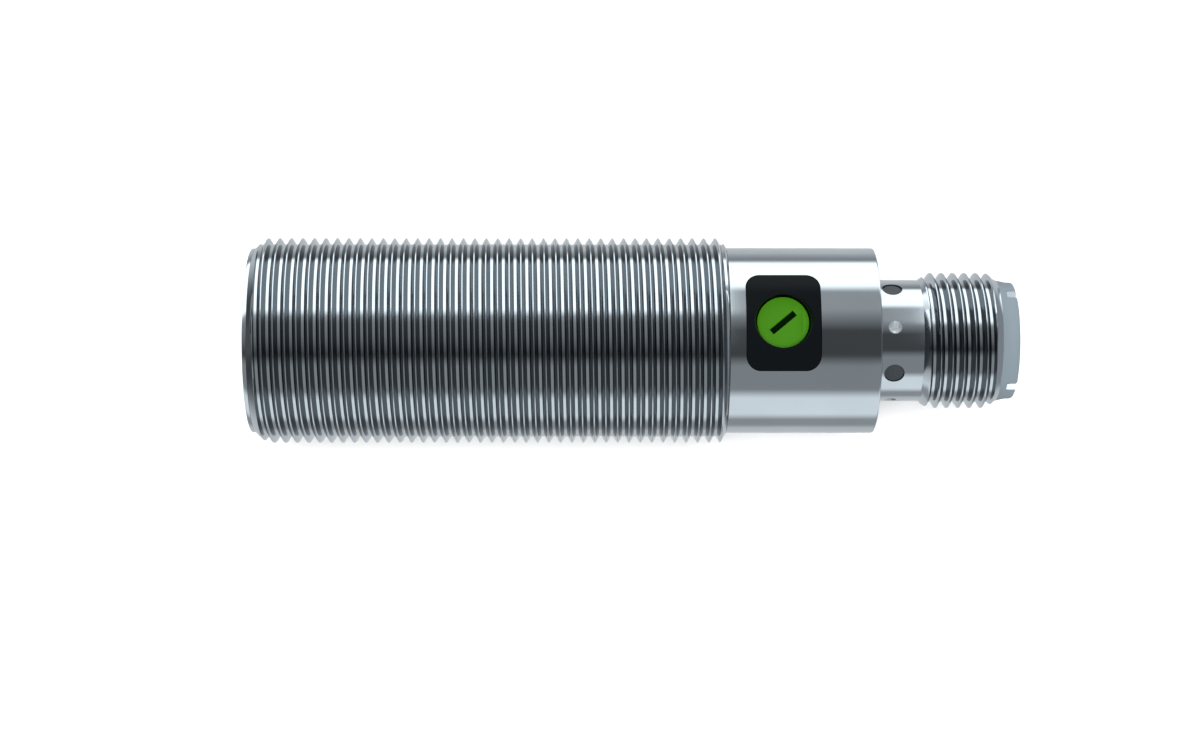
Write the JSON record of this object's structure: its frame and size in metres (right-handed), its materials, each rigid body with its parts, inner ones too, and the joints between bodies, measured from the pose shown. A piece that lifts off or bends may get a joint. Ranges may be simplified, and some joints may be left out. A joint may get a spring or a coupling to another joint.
{
  "type": "photoelectric sensor",
  "caption": "Cylindrical M18 laser photoelectric sensor: threaded stainless barrel, sensing window at one end, screwdriver adjuster, indicator lights and a male M12 plug at the other.",
  "frame": {"origin": "centre of the sensing face, on the barrel's axis", "axes": "+X along the barrel from the sensing face to the plug, +Z out through the adjuster, +Y by the right-hand rule"},
  "size_m": [0.0665, 0.0178, 0.0178],
  "materials": {
    "stainless_steel": "turned stainless steel, satin",
    "window_glass": "dark red tinted glass",
    "clear_glass": "clear, coated",
    "film": "smoked film",
    "seal_rubber": "matt moulded rubber",
    "black_aluminium": "black anodised",
    "turned_brass": "turned",
    "gold_plate": "gold plated",
    "chip_black": "moulded epoxy",
    "board_green": "glass laminate under solder mask",
    "flex_amber": "polyimide film",
    "black_plastic": "moulded, fine grain",
    "gloss_black": "moulded, polished",
    "adjuster_green": "moulded, satin",
    "spring_steel": "stamped",
    "trimmer_blue": "moulded",
    "carbon_track": "printed carbon",
    "white_plastic": "moulded",
    "potting_resin": "cast epoxy",
    "led_clear": "moulded, translucent",
    "smoked_plastic": "moulded, translucent smoke",
    "wire_jacket": "extruded insulation",
    "tantalum_yellow": "moulded epoxy",
    "ceramic_tan": "fired ceramic",
    "ferrite": "sintered ferrite"
  },
  "bodies": {
    "sensor": {"adjuster_bezel": "gloss_black", "amplifier_chip": "chip_black", "aperture_plate": "black_aluminium", "beam_splitter": "clear_glass", "bezel_gasket": "seal_rubber", "board_cradle": "black_plastic", "ceramic_capacitors": "ceramic_tan", "chip_resistors": "chip_black", "choke_coil": "ferrite", "clock_crystal": "spring_steel", "connector_shell": "stainless_steel", "contact_carrier": "black_plastic", "contact_pins": "gold_plate", "contact_wires": "wire_jacket", "controller_chip": "chip_black", "front_window": "window_glass", "laser_chip": "chip_black", "laser_diode": "gold_plate", "laser_driver_chip": "chip_black", "laser_glass": "clear_glass", "laser_holder": "turned_brass", "laser_leads": "gold_plate", "laser_retainer": "turned_brass", "led_board": "board_green", "lens_retainer": "black_aluminium", "light_guide": "smoked_plastic", "main_board": "board_green", "objective_lens": "clear_glass", "optics_barrel": "black_aluminium", "output_transistors": "chip_black", "photodiode": "chip_black", "polarising_film": "film", "potting_plug": "potting_resin", "protection_diodes": "chip_black", "receiver_board": "board_green", "receiver_flex": "flex_amber", "regulator_chip": "chip_black", "shell_seal": "seal_rubber", "status_leds": "led_clear", "tantalum_capacitor": "tantalum_yellow", "threaded_sleeve": "stainless_steel", "trimmer_body": "trimmer_blue", "trimmer_track": "carbon_track", "window_seal": "seal_rubber"},
    "adjuster": {"adjuster_screw": "adjuster_green", "adjuster_seal": "seal_rubber", "adjuster_clip": "spring_steel", "trimmer_rotor": "white_plastic", "trimmer_wiper": "spring_steel"}
  },
  "joints": [
    {"name": "adjuster_turn", "type": "hinge", "parent": "sensor", "child": "adjuster", "pos_m": [0.0459, 0, 0.0071], "axis": [0, 0, 1], "range_deg": [-175, 95]}
  ]
}
